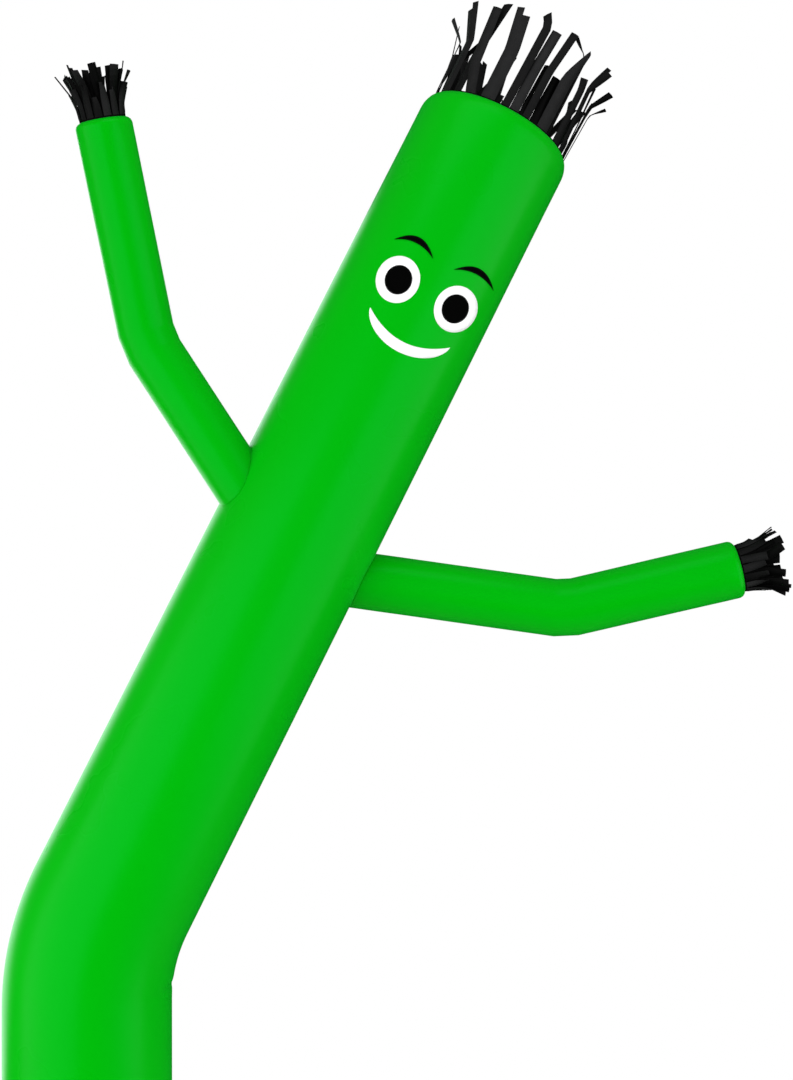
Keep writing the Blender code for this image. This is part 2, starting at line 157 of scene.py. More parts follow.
def satinRipstop():
    # Coated ripstop nylon: a deep even green with a soft green shine, and a raised grid of thicker threads.
    look = {
        "colour": "#00b003", "worn": "#00b407", "wear": 0.35, "mottlesToMetre": 5.0,
        "gridPeriod": 0.0055, "gridSharpness": 14.0,
        "weavePeriod": 0.0016, "weaveShare": 0.25,       # 0.2 mm in life, drawn coarser so that it shows
        "relief": 0.0001, "bump": 0.35, "roughLow": 0.25, "roughHigh": 0.31,
        "shine": 0.14, "shineTint": "#61ffbc",           # the threads break up most of the film's shine
        "sheen": 0.08, "sheenTint": "#61ffaa",           # and glow a little where the cloth turns away
    }
    material, tree, shader = newMaterial("satinRipstopNylon", {
        "IOR": 1.53, "Specular IOR Level": look["shine"], "Specular Tint": linear(look["shineTint"]),
        "Sheen Weight": look["sheen"], "Sheen Roughness": 0.5, "Sheen Tint": linear(look["sheenTint"]),
    })
    cloth = addNode(tree, "UVMap", {"uv_map": "clothUv"}).outputs[0]
    lines = []
    for direction in "XY":
        wave = addNode(tree, "TexWave", {"bands_direction": direction},
                       {"Scale": waveScale(look["gridPeriod"])}, {"Vector": cloth}).outputs["Fac"]
        line = addNode(tree, "Math", {"operation": "POWER"}, {1: look["gridSharpness"]}, {0: wave})
        lines.append(line.outputs[0])
    grid = addNode(tree, "Math", {"operation": "MAXIMUM"}, None, {0: lines[0], 1: lines[1]}).outputs[0]
    weave = addNode(tree, "TexWave", {"bands_direction": "DIAGONAL"},
                    {"Scale": waveScale(look["weavePeriod"])}, {"Vector": cloth}).outputs["Fac"]
    height = addNode(tree, "Math", {"operation": "MULTIPLY_ADD"}, {1: look["weaveShare"]},
                     {0: weave, 2: grid}).outputs[0]
    bump = addNode(tree, "Bump", None, {"Strength": look["bump"], "Distance": look["relief"]},
                   {"Height": height}).outputs[0]
    mottle = addNode(tree, "TexNoise", None, {"Scale": look["mottlesToMetre"], "Detail": 3.0},
                     {"Vector": cloth}).outputs["Fac"]
    wear = addNode(tree, "MapRange", None, {"To Max": look["wear"]}, {"Value": mottle}).outputs[0]
    colour = addNode(tree, "Mix", {"data_type": "RGBA"},
                     {6: linear(look["colour"]), 7: linear(look["worn"])}, {0: wear}).outputs[2]
    rough = addNode(tree, "MapRange", None, {"To Min": look["roughLow"], "To Max": look["roughHigh"]},
                    {"Value": mottle}).outputs[0]
    joinNode(tree, shader, {"Base Color": colour, "Roughness": rough, "Normal": bump})
    return material


def plainCloth(name, colour, worn, roughness, shine, paintedShade=None, glow=None):
    # Uncoated plain nylon taffeta: one even colour, hardly any shine, and a fine straight weave. Given a
    # painted shade colour, each cut strip is painted darker by how much it stands in the shade of the others.
    look = {
        "weavePeriod": 0.0012,       # 0.2 mm in life, drawn coarser so that it shows
        # the painted shade's contrast: a strip with less painted light is much the darker
        "relief": 0.0001, "bump": 0.4, "mottlesToMetre": 45.0, "paintedShadeContrast": 1.8,
    }
    material, tree, shader = newMaterial(name, {
        "IOR": 1.53, "Roughness": roughness, "Specular IOR Level": shine})
    cloth = addNode(tree, "UVMap", {"uv_map": "clothUv"}).outputs[0]
    threads = [addNode(tree, "TexWave", {"bands_direction": direction},
                       {"Scale": waveScale(look["weavePeriod"])}, {"Vector": cloth}).outputs["Fac"]
               for direction in "XY"]
    weave = addNode(tree, "Math", {"operation": "MULTIPLY"}, None, {0: threads[0], 1: threads[1]}).outputs[0]
    bump = addNode(tree, "Bump", None, {"Strength": look["bump"], "Distance": look["relief"]},
                   {"Height": weave}).outputs[0]
    mottle = addNode(tree, "TexNoise", None, {"Scale": look["mottlesToMetre"], "Detail": 4.0},
                     {"Vector": cloth}).outputs["Fac"]
    tone = addNode(tree, "Mix", {"data_type": "RGBA"}, {6: linear(colour), 7: linear(worn)},
                   {0: mottle}).outputs[2]
    # painted shade: the cloth's colour is mixed towards the near-black shade colour where a strip gets less
    # painted light
    if paintedShade:
        pale = addNode(tree, "Attribute", {"attribute_name": "paintedStripLight"}).outputs["Fac"]
        share = addNode(tree, "Math", {"operation": "POWER"}, {1: look["paintedShadeContrast"]}, {0: pale}).outputs[0]
        tone = addNode(tree, "Mix", {"data_type": "RGBA"}, {6: linear(paintedShade)}, {0: share, 7: tone}).outputs[2]
    if glow:
        shader.inputs["Emission Color"].default_value = linear(colour)
        shader.inputs["Emission Strength"].default_value = glow        # a painted glow that lifts the white cloth to full white, standing in for its brightener
    joinNode(tree, shader, {"Base Color": tone, "Normal": bump})
    return material


def sewingThread(name, colour, worn):
    # Spun polyester thread: matt and a little fuzzy, the colour of its cloth, rubbed paler here and there.
    look = {"fibresToMetre": 2500.0, "rubsToMetre": 30.0, "relief": 0.0001, "bump": 0.5}
    material, tree, shader = newMaterial(name, {"Roughness": 0.7, "Specular IOR Level": 0.2})
    spot = addNode(tree, "TexCoord").outputs["Object"]
    fuzz = addNode(tree, "TexNoise", None, {"Scale": look["fibresToMetre"]}, {"Vector": spot}).outputs["Fac"]
    bump = addNode(tree, "Bump", None, {"Strength": look["bump"], "Distance": look["relief"]},
                   {"Height": fuzz}).outputs[0]
    rub = addNode(tree, "TexNoise", None, {"Scale": look["rubsToMetre"]}, {"Vector": spot}).outputs["Fac"]
    tone = addNode(tree, "Mix", {"data_type": "RGBA"}, {6: linear(colour), 7: linear(worn)},
                   {0: rub}).outputs[2]
    joinNode(tree, shader, {"Base Color": tone, "Normal": bump})
    return material


green = satinRipstop()
# the fringes' taffeta, painted near black where a strip stands in shade
blackStrip = plainCloth("blackNylonTaffeta", "#1f1f1f", "#2d2d2e", 0.7, 0.06, paintedShade="#020202")
blackPatch = plainCloth("blackPatchNylon", "#020202", "#040404", 0.8, 0.02)
# the white patches carry a small painted glow
whitePatch = plainCloth("whitePatchNylon", "#ffffff", "#fbfbfb", 0.6, 0.5, glow=0.06)
greenThread = sewingThread("greenPolyesterThread", "#009a08", "#12b01c")
blackThread = sewingThread("blackPolyesterThread", "#0a0a0a", "#161616")
whiteThread = sewingThread("whitePolyesterThread", "#f2f2f2", "#e6e6e6")
print("materials made")


bodySleeve = {
    "radius": 0.1524, "length": 3.05,          # 12 inches across, 10 feet long
    "bendHeight": 1.338, "bendRadius": 0.42, "leanSideways": 26.35, "leanBack": 5.2,
    "sides": 92, "spacing": 0.04, "bendSpacing": 0.01, "bendMargin": 0.06,
    "hemLength": 0.05, "hemProud": 0.0012, "hemStep": 0.003, "hemSpacing": 0.03,
    "rimDraw": 0.0115, "rimDepth": 0.028, "rimRows": 8,
    "thickness": 0.0008, "seamHalf": 0.0062, "seamEdge": 0.0012, "seamRise": 0.0008,
    "ripple": 0.0006, "rippleAcross": 1.5, "rippleAlong": 2.5, "rippleShift": 0.0, "rippleFade": 0.1,
    # the crease inside the bend: how far past the bend's start, how deep, how wide, and its reach in degrees
    "creaseAt": 0.045, "creaseDepth": 0.0025, "creaseWidth": 0.012, "creaseReach": 28,
}
armSleeves = {
    # how far below the head's rim and behind the body's centre line an arm starts; then each part's length
    # and its way, in degrees off straight up towards +X and then towards the back
    "left": {"radius": 0.0525, "handRadius": 0.0513, "belowRim": 0.907, "setBack": -0.034,
             "upper": (0.462, -32.9, -1.8), "fore": (0.402, -10.1, -11.0)},
    "right": {"radius": 0.0543, "handRadius": 0.0545, "belowRim": 0.943, "setBack": 0.042,
              "upper": (0.548, 98.0, -0.7), "fore": (0.335, 76.6, -4.3)},
}
armCloth = {
    "sides": 46, "spacing": 0.02, "elbowRadius": 0.1, "elbowSupport": 0.008,
    "rimDraw": 0.0085, "rimDepth": 0.012, "rimRows": 6,
    "thickness": 0.0007, "seamHalf": 0.004, "seamEdge": 0.001, "seamRise": 0.0006,
    "ripple": 0.0004, "rippleAcross": 1.0, "rippleAlong": 5.0, "rippleShift": 7.0, "rippleFade": 0.05,
    "tuck": 0.0008, "rootEdge": 0.003, "rootClear": 0.006,
}
rimTurn = radians(70)                          # how far an open rim's shoulder curls round


bodyLean = leanTo(bodySleeve["leanSideways"], bodySleeve["leanBack"])
bodyTurn = acos(up.dot(bodyLean))
bodyInward = (bodyLean - up * up.dot(bodyLean)).normalized()
bodyBendStart = bodySleeve["bendHeight"] - bodySleeve["bendRadius"] * tan(bodyTurn / 2)
bodyBendEnd = bodyBendStart + bodySleeve["bendRadius"] * bodyTurn


def bodyFrame(distance):
    # the body's centre line at a distance from the foot
    radius = bodySleeve["bendRadius"]
    if distance <= bodyBendStart:
        return standOn(up * distance, up)
    if distance < bodyBendEnd:
        swing = (distance - bodyBendStart) / radius
        centre = up * bodyBendStart + bodyInward * radius
        return standOn(centre + (up * sin(swing) - bodyInward * cos(swing)) * radius,
                       up * cos(swing) + bodyInward * sin(swing))
    past = radius * tan(bodyTurn / 2) + distance - bodyBendEnd
    return standOn(up * bodySleeve["bendHeight"] + bodyLean * past, bodyLean)


def bodyBelowRim(below):
    return bodyFrame(bodySleeve["length"] - below).translation


def rimAngle(share):
    # how far round its curl a rim's shoulder is, at a share of its depth
    return atan2(share * sin(rimTurn), sqrt(max(0.0, 1 - (share * sin(rimTurn)) ** 2)))


def rimRadius(sleeve, radius, fromRim):
    # a sleeve's radius near its open rim, where it is gathered in on a rounded shoulder
    if fromRim >= sleeve["rimDepth"]:
        return radius
    turn = rimAngle(1 - fromRim / sleeve["rimDepth"])
    return radius - sleeve["rimDraw"] * (1 - cos(turn)) / (1 - cos(rimTurn))


def rimStations(sleeve, length):
    # distances through a rim's shoulder, evenly spaced round its curl
    turns = [rimTurn * i / sleeve["rimRows"] for i in range(sleeve["rimRows"] + 1)]
    return [length - sleeve["rimDepth"] * (1 - sin(turn) / sin(rimTurn)) for turn in turns]


def seamAngles(sides, radius, cloth):
    # angles round a sleeve from its back seam round to the seam again, with the seam's two folded edges
    half, edge = cloth["seamHalf"] / radius, (cloth["seamHalf"] + cloth["seamEdge"]) / radius
    clear = edge + 2 * pi / sides
    run = [-pi + clear + (2 * pi - 2 * clear) * i / (sides - 4) for i in range(sides - 3)]
    return [-pi, -pi + half, -pi + edge] + run + [pi - edge, pi - half]


def growSleeve(shape, stations, angles):
    # a ring at the first station, drawn out through the others
    ring = bmesh.ops.create_circle(shape, segments=len(angles), radius=1.0)["verts"]
    for vert, angle in zip(ring, angles):
        vert.co = stations[0] @ rimVector(angle)
    rings = [ring]
    for before, after in zip(stations, stations[1:]):
        ring = drawOut(shape, ring, True)
        bmesh.ops.transform(shape, matrix=after @ before.inverted(), verts=ring)
        rings.append(ring)
    return rings


def skinLift(cloth, angle, distance, radius, length):
    # how far the skin is off a plain round sleeve: its folded back seam stands proud, and the cloth is never
    # quite even, but at an open rim the fringe's band holds it
    seam = cloth["seamRise"] if (pi - abs(angle)) * radius <= cloth["seamHalf"] + slack else 0.0
    fade = min(1.0, (length - distance) / cloth["rippleFade"])
    across, along = cloth["rippleAcross"], cloth["rippleAlong"]
    spot = Vector((cos(angle) * across, sin(angle) * across + cloth["rippleShift"], distance * along))
    return seam + cloth["ripple"] * fade * noise.noise(spot)


def hemLift(distance):
    # the body's foot is folded up in a hem
    return bodySleeve["hemProud"] if distance <= bodySleeve["hemLength"] + slack else 0.0


def turnOut(shape):
    # faces look outwards, so that a wall grows inwards from them
    bmesh.ops.recalc_face_normals(shape, faces=shape.faces)


def makeBody():
    size = bodySleeve
    length, radius = size["length"], size["radius"]
    bendLow, bendHigh = bodyBendStart - size["bendMargin"], bodyBendEnd + size["bendMargin"]
    rows = [0.0, size["hemStep"]] + spaced(size["hemLength"] / 2, size["hemLength"], size["hemSpacing"])
    rows += spaced(size["hemLength"] + size["hemStep"], bendLow, size["spacing"])
    rows += spaced(bendLow, bendHigh, size["bendSpacing"])[1:]
    rows += spaced(bendHigh, length - size["rimDepth"], size["spacing"])[1:-1]
    rows += rimStations(size, length)
    angles = seamAngles(size["sides"], radius, size)
    stations = []
    for row in rows:
        wide = rimRadius(size, radius, length - row) + hemLift(row)
        stations.append(bodyFrame(row) @ Matrix.Scale(wide, 4))
    shape = bmesh.new()
    rings = growSleeve(shape, stations, angles)
    place = {}
    for row, ring, station in zip(rows, rings, stations):
        along = (row - bodyBendStart - size["creaseAt"]) / size["creaseWidth"]
        for vert, angle in zip(ring, angles):
            place[vert] = (angle * radius, row)
            across = (angle - pi / 2) / radians(size["creaseReach"])
            lift = skinLift(size, angle, row, radius, length)
            lift -= size["creaseDepth"] * exp(-across ** 2 - along ** 2)
            vert.co += (vert.co - station.translation).normalized() * lift
    layUv(shape, place, 2 * pi * radius)
    turnOut(shape)
    return finishPiece("bodySleeve", shape, green, size["thickness"])


def armPath(arm):
    # an arm's upper part, the short facet of its elbow and its forearm, and the ways of the first and last
    upper, fore = leanTo(*arm["upper"][1:]), leanTo(*arm["fore"][1:])
    start = bodyBelowRim(arm["belowRim"]) + toBack * arm["setBack"]
    elbow = start + upper * arm["upper"][0]
    cut = armCloth["elbowRadius"] * tan(acos(upper.dot(fore)) / 2)
    foldIn, foldOut = elbow - upper * cut, elbow + fore * cut
    return [(start, foldIn), (foldIn, foldOut), (foldOut, elbow + fore * arm["fore"][0])], upper, fore


def armStations(arm):
    # (distance, frame, widening) down the arm, with a mitred ring and two close rings at each crease
    legs = armPath(arm)[0]
    reach = armCloth["elbowSupport"]
    stations = []
    distance = 0.0
    lengths = [(end - start).length for start, end in legs]
    total = sum(lengths)
    last = len(legs) - 1
    for index, (start, end) in enumerate(legs):
        along = (end - start).normalized()
        low = reach if index else 0.0
        high = lengths[index] - (reach if index < last else armCloth["rimDepth"])
        for step in spaced(low, high, armCloth["spacing"]):
            stations.append((distance + step, standOn(start + along * step, along), 1.0))
        if index < last:
            after = (legs[index + 1][1] - legs[index + 1][0]).normalized()
            mitre = 1 / cos(acos(along.dot(after)) / 2)
            stations.append((distance + lengths[index], standOn(end, (along + after).normalized()), mitre))
        distance += lengths[index]
    for row in rimStations(armCloth, total)[1:]:
        stations.append((row, standOn(end - along * (total - row), along), 1.0))
    return stations, total


def armRadius(arm, distance, total):
    share = min(1.0, distance / total)
    return arm["radius"] + (arm["handRadius"] - arm["radius"]) * share


def leaveBody(point, along, lift):
    # how far a point inside the body goes along a direction before it is out through the body's skin
    axisPoint = bodyBelowRim(0.0)
    offset = point - axisPoint
    offset -= bodyLean * offset.dot(bodyLean)
    run = along - bodyLean * along.dot(bodyLean)
    a, b, c = run.dot(run), offset.dot(run), offset.dot(offset) - (bodySleeve["radius"] + lift) ** 2
    return (-b + sqrt(b * b - a * c)) / a


def armRoot(arm, angle):
    # how far along an arm its cloth meets the body, at an angle round the arm
    legs, upper = armPath(arm)[:2]
    rim = standOn(legs[0][0], upper).to_3x3() @ rimVector(angle) * arm["radius"]
    return leaveBody(legs[0][0] + rim, upper, -armCloth["tuck"])


def makeArm(side):
    arm = armSleeves[side]
    legs, upper, fore = armPath(arm)
    stations, total = armStations(arm)
    angles = seamAngles(armCloth["sides"], arm["radius"], armCloth)
    roots = [armRoot(arm, angle) for angle in angles]
    bendSide = (fore - upper).normalized()
    rows = [0.0, armCloth["rootEdge"]]
    frames = [standOn(legs[0][0], upper) @ Matrix.Scale(arm["radius"], 4)] * 2
    for distance, placed, wide in stations:
        if distance <= max(roots) + armCloth["rootClear"]:
            continue
        radius = rimRadius(armCloth, armRadius(arm, distance, total), total - distance)
        stretch = Matrix.Scale(radius, 4)
        if wide > 1.0:
            along = placed.col[2].to_3d()
            outer = (bendSide - along * bendSide.dot(along)).normalized()
            stretch = stretch @ Matrix.Scale(wide, 4, placed.to_3x3().inverted() @ outer)
        rows.append(distance)
        frames.append(placed @ stretch)
    shape = bmesh.new()
    rings = growSleeve(shape, frames, angles)
    place = {}
    for row, ring, station in zip(rows, rings, frames):
        for vert, angle, root in zip(ring, angles, roots):
            if row <= armCloth["rootEdge"]:
                # the two rings at the root follow the body's skin
                vert.co += upper * (root + row)
                place[vert] = (angle * arm["radius"], root + row)
                continue
            place[vert] = (angle * arm["radius"], row)
            lift = skinLift(armCloth, angle, row, arm["radius"], total)
            vert.co += (vert.co - station.translation).normalized() * lift
    layUv(shape, place, 2 * pi * arm["radius"])
    turnOut(shape)
    return finishPiece("armSleeve_" + side, shape, green, armCloth["thickness"]), total


bodyPiece = makeBody()
armPieces = {}
armLengths = {}
for side in armSleeves:
    armPieces[side], armLengths[side] = makeArm(side)
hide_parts("body_tube")
for side, piece in armPieces.items():
    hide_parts("arm_" + side)
print("sleeves made")


stitchLook = {"length": 0.003, "width": 0.0008, "height": 0.0007, "pitch": 0.0042}
seamRows = {
    # each row's distance from the foot, from a rim, from an arm's root or from the middle of a back seam
    "hem": (0.039, 0.046), "headRim": 0.007, "handRim": 0.005, "armRoot": 0.004,
    "bodySeam": 0.0045, "armSeam": 0.0028,
    # how far past the hem and past an arm's root the seams' rows start, and the spacing of a row's guides
    "aboveHem": 0.004, "pastRoot": 0.012, "spacing": 0.02,
}


def stitchSpots(path, closed=False):
    # evenly pitched places along a line of points, each with the way out of the cloth there
    pairs = list(zip(path, path[1:] + path[:1])) if closed else list(zip(path, path[1:]))
    total = sum((after[0] - before[0]).length for before, after in pairs)
    step = total / round(total / stitchLook["pitch"])
    spots, reached, due = [], 0.0, step / 2
    for (point, outward), (after, outwardAfter) in pairs:
        run = after - point
        while due <= reached + run.length and due < total:
            share = (due - reached) / run.length
            spots.append((point + run * share, run.normalized(), outward.lerp(outwardAfter, share)))
            due += step
        reached += run.length
    return spots


def beadMesh():
    # one stitch, as a bead of 20 faces
    shape = bmesh.new()
    bmesh.ops.create_icosphere(shape, subdivisions=1, radius=0.5)
    return meshOf("threadBead", shape)


def sewStitches(name, spots, material):
    # each stitch is a small bead of thread, half sunk into the cloth
    size = stitchLook
    shape = bmesh.new()
    bead = beadMesh()
    for point, along, outward in spots:
        outward = (outward - along * outward.dot(along)).normalized()
        axes = (along * size["length"], outward.cross(along) * size["width"], outward * size["height"])
        place = Matrix.Translation(point) @ Matrix(axes).transposed().to_4x4()
        bead.transform(place)
        shape.from_mesh(bead)
        bead.transform(place.inverted())
    bpy.data.meshes.remove(bead)
    piece = finishPiece(name, shape, material)
    return piece


def skinSpot(place, sleeve, angle, radius, fromRim):
    # a point on a sleeve's skin and the way out of it, with the curl of its open rim
    turn = rimAngle(max(0.0, 1 - fromRim / sleeve["rimDepth"]))
    outward = rimVector(angle) * cos(turn) + up * sin(turn)
    return place @ (rimVector(angle) * radius), place.to_3x3() @ outward


def bodySkin(angle, row):
    size = bodySleeve
    fromRim = size["length"] - row
    radius = rimRadius(size, size["radius"], fromRim) + hemLift(row)
    radius += skinLift(size, angle, row, size["radius"], size["length"])
    return skinSpot(bodyFrame(row), size, angle, radius, fromRim)


def armSkin(arm, angle, row, total):
    left = row
    for start, end in armPath(arm)[0]:
        run = end - start
        if left <= run.length:
            break
        left -= run.length
    along = run.normalized()
    radius = rimRadius(armCloth, armRadius(arm, row, total), total - row)
    radius += skinLift(armCloth, angle, row, arm["radius"], total)
    return skinSpot(standOn(start + along * left, along), armCloth, angle, radius, total - row)


def stitchBody():
    size = bodySleeve
    angles = seamAngles(size["sides"], size["radius"], size)
    spots = []
    for row in (*seamRows["hem"], size["length"] - seamRows["headRim"]):
        spots += stitchSpots([bodySkin(angle, row) for angle in angles], True)
    for sign in (-1, 1):
        angle = sign * (pi - seamRows["bodySeam"] / size["radius"])
        start = size["hemLength"] + seamRows["aboveHem"]
        rows = spaced(start, size["length"] - size["rimDepth"], seamRows["spacing"])
        spots += stitchSpots([bodySkin(angle, row) for row in rows])
    return sewStitches("bodyStitches", spots, greenThread)


def stitchArm(side):
    arm, total = armSleeves[side], armLengths[side]
    angles = seamAngles(armCloth["sides"], arm["radius"], armCloth)
    rootRing = [armSkin(arm, angle, armRoot(arm, angle) + seamRows["armRoot"], total) for angle in angles]
    rimRing = [armSkin(arm, angle, total - seamRows["handRim"], total) for angle in angles]
    spots = stitchSpots(rootRing, True) + stitchSpots(rimRing, True)
    for sign in (-1, 1):
        angle = sign * (pi - seamRows["armSeam"] / arm["radius"])
        start = armRoot(arm, angle) + seamRows["pastRoot"]
        rows = spaced(start, total - armCloth["rimDepth"], seamRows["spacing"])
        spots += stitchSpots([armSkin(arm, angle, row, total) for row in rows])
    return sewStitches("armStitches_" + side, spots, greenThread)


bodyStitches = stitchBody()
armStitches = {side: stitchArm(side) for side in armSleeves}
print("seams sewn")


headFringe = {
    "radius": 0.1388, "drop": 0.012, "rise": 0.003, "thickness": 0.0005,
    "steps": 14, "cup": 0.0012, "soft": 0.009, "flatReach": 0.19,
    # degrees round the rim from the front; width, length and the kink's height in mm; below and above the
    # kink, the lean outwards and the turn along the rim in degrees; the twist above the kink in degrees; the
    # slant of the cut end and how far one half of it stands past the other in mm; and its painted light (less
    # is painted shade)
    "columns": ("angle", "width", "length", "kinkAt", "leanLow", "turnLow", "leanHigh", "turnHigh",
                "twist", "slant", "notch", "pale"),
    "strips": (
        (-89, 14, 100, 34, -4, 0, 0, 4, 80, 7, 0, 0.5), (-79, 10, 162, 116, 1, 0, 46, 0, 30, 3, 0, 0.9),
        (-58, 27, 168, 108, 1, 0, 21, -6, 8, 3, 11, 0.7), (-43, 19, 184, 69, 3, 3, 3, 13, 6, 7, 0, 0.5),
        (-30.5, 22, 168, 58, 8, -15, 8, 0, -8, -3, 0, 0.8), (-22.8, 10, 96, 77, -3, 20, -3, 8, 0, 3, 0, 0.1),
        (-15, 28, 164, 98, 8, 3, 8, -7, 7, 2, -14, 0.9), (-6.5, 11, 14, 8, 3, 4, 3, 4, 0, 2, 0, 0.2),
        (0, 16, 187, 166, 5, 2, 9, -31, -6, 6, 0, 0.6), (7.4, 19, 166, 90, 3, 1, 4, 4, 5, 2, 0, 1.0),
        (13.2, 8, 108, 20, -2, 0, -3, 3, 0, 4, 0, 0.1), (18.2, 15, 178, 94, 7, -1, 7, 6, -6, 2, 0, 0.6),
        (25.2, 18, 99, 50, -3, 2, -3, 4, 4, 3, 0, 0.1),
        (34.6, 26, 172, 104, 3, -1, 5, 15, 50, 3, 0, 0.9),
        (41.5, 8, 208, 168, -2, 2, -30, -48, 105, 2, 0, 0.3),
        (53.5, 21, 138, 114, -1, 1, -4, -10, -10, 4, 0, 0.6),
        (66, 19, 182, 134, -1, -1, 22, 6, -45, 3, -6, 0.5),
        (74.5, 6, 150, 67, 0, 0, -2, 2, -35, 2, 0, 0.3), (81.5, 15, 168, 116, 0, 2, 31, 4, -40, 4, 0, 0.2),
        (92, 9, 146, 112, 3, 0, 44, -3, 65, 2, 0, 0.2), (104, 21, 150, 110, 1, -4, 6, 3, 8, 4, 0, 0.3),
        (119, 23, 150, 64, 6, 3, -16, 6, -10, -4, 6, 0.4), (134, 21, 166, 92, 8, -5, 18, 4, 9, 3, 0, 0.5),
        (146, 18, 176, 60, 11, 6, 20, -5, -8, 4, -7, 0.3), (157, 18, 186, 110, 5, -3, 7, 2, 6, 3, 0, 0.6),
        (172, 24, 178, 80, 10, 5, 17, -8, -7, 4, 8, 0.4), (188, 18, 122, 70, 6, -3, 10, 4, 10, 3, 0, 0.7),
        (200, 19, 170, 112, 5, -4, 9, 6, -6, -4, 0, 0.3), (214, 24, 170, 84, 6, -5, 16, 6, 8, 3, -9, 0.5),
        (228, 21, 178, 64, 9, 6, 19, -4, -11, 4, 0, 0.6), (241, 18, 164, 100, 5, -4, 22, 5, 9, -3, 6, 0.4),
        (252, 15, 168, 98, 3, 0, -28, 3, -8, 3, 0, 0.1), (261, 9, 166, 90, 3, 2, 14, -3, 10, 4, 0, 0.3),
    ),
}
handFringe = {
    "inset": 0.0014, "drop": 0.008, "rise": 0.003, "thickness": 0.0004,
    "steps": 9, "cup": 0.0008, "soft": 0.018, "length": {"left": 0.087, "right": 0.077},
    "kinkShare": 0.45, "twist": 35, "slant": 0.002, "notch": 0.005,
    # how uneven the strips are: a lean in degrees, how far the kink's place and the turn below it may be off,
    # the least share of a root's fullest painted light, and how often a cut end is notched
    "leanDraw": 3, "kinkDraw": 0.12, "turnLowDraw": 0.3, "paintedLightDraw": 0.3, "notchDraw": (-1, 0, 0, 0, 0, 1),
    # strips in a row, how far it stands in from the outer one, the strips' share of their room on the band,
    # the lean below and above the kink, every other strip's further lean, the turn along the rim, the share
    # of the length and how uneven it is, and the most painted light at the root and at the tip (less is
    # painted shade)
    "rowColumns": ("strips", "gap", "rootShare", "leanLow", "leanHigh", "step", "turn", "share", "uneven",
                   "paintedLightLow", "paintedLightHigh"),
    "rows": ((16, 0.0, 0.84, 4, 16, 4, 14, 0.55, 0.3, 1.0, 0.85),
             (12, 0.0026, 0.76, 4, 27, 10, 17, 1.0, 0.11, 0.1, 1.0),
             (11, 0.0052, 0.9, 2, 17, 6, 12, 0.94, 0.12, 0.0, 0.65)),
    "seeds": {"left": 31, "right": 12},
}


def headingAt(row, distance):
    # a strip's lean outwards and turn along the rim at a distance from its root; it has one soft kink
    mix = min(1.0, max(0.0, (distance - row["kinkAt"]) / (2 * row["soft"]) + 0.5))
    mix *= mix * (3 - 2 * mix)
    lean = row["leanLow"] + (row["leanHigh"] - row["leanLow"]) * mix
    return lean, row["turnLow"] + (row["turnHigh"] - row["turnLow"]) * mix


def growStrip(shape, chain, outward, row, place):
    # a strip of cloth drawn out of a band's edge, with a cut end
    across = up.cross(outward)
    step = row["length"] / row["steps"]
    stepsLow = int(row["kinkAt"] / step)
    twist = row["twist"] / (row["steps"] - stepsLow)
    tone = shape.faces.layers.float["paintedStripLight"]
    turnBefore = 0.0
    for index in range(row["steps"]):
        before = [place[v] for v in chain]
        chain = drawOut(shape, chain, False)
        lean, turn = headingAt(row, (index + 0.5) * step)
        forward = (up * cos(lean) + outward * sin(lean)) * cos(turn) + across * sin(turn)
        facing = outward * cos(lean) - up * sin(lean)
        bmesh.ops.translate(shape, vec=forward * step, verts=chain)
        if index == 0:
            chain[1].co += outward * row["cup"]
        centre = chain[1].co.copy()
        swing = Matrix.Rotation(turn - turnBefore, 3, -facing)
        bmesh.ops.rotate(shape, cent=centre, verts=chain, matrix=swing)
        if index >= stepsLow:
            bmesh.ops.rotate(shape, cent=centre, verts=chain, matrix=Matrix.Rotation(twist, 3, forward))
        for vert, (u, v) in zip(chain, before):
            place[vert] = (u, v + step)
        # painted light on the strip's faces, running from the root's share to the tip's; what is missing is
        # painted shade
        for face in chain[1].link_faces:
            face[tone] = row["pale"] + (row["paintedLightHigh"] - row["pale"]) * (index / row["steps"]) ** 2
        turnBefore = turn
    for share, vert in zip((-0.5, 0, 0.5), chain):
        vert.co += forward * row["slant"] * share
    if row["notch"]:
        half = chain[1:] if row["notch"] > 0 else chain[:2]
        tip = drawOut(shape, half, False)
        bmesh.ops.translate(shape, vec=forward * abs(row["notch"]), verts=tip)
        for vert, root in zip(tip, half):
            place[vert] = (place[root][0], place[root][1] + abs(row["notch"]))
            # the notch takes the tip's painted light
            for face in vert.link_faces:
                face[tone] = row["paintedLightHigh"]


def makeFringeRow(shape, radius, drop, rise, strips, place):
    # a sewn band with strips cut into its upper edge; each strip has three vertices across
    angles = []
    for row in strips:
        half = row["width"] / radius / 2
        angles += [row["angle"] - half, row["angle"], row["angle"] + half]
    ring = bmesh.ops.create_circle(shape, segments=len(angles), radius=radius)["verts"]
    for vert, angle in zip(ring, angles):
        vert.co = rimVector(angle) * radius - up * drop
        place[vert] = (angle * radius, -drop)
    top = drawOut(shape, ring, True)
    bmesh.ops.translate(shape, vec=up * (drop + rise), verts=top)
    for vert, angle in zip(top, angles):
        place[vert] = (angle * radius, rise)
    for index, row in enumerate(strips):
        growStrip(shape, top[3 * index:3 * index + 3], rimVector(row["angle"]), row, place)


def newFringe():
    # every face carries how much painted light its strip gets, for the cloth's painted shade
    shape = bmesh.new()
    shape.faces.layers.float.new("paintedStripLight")
    return shape


def finishFringe(name, shape, place, stand, thickness):
    layUv(shape, place)
    turnOut(shape)
    shape.transform(stand)
    return finishPiece(name, shape, blackStrip, thickness, 0.0)


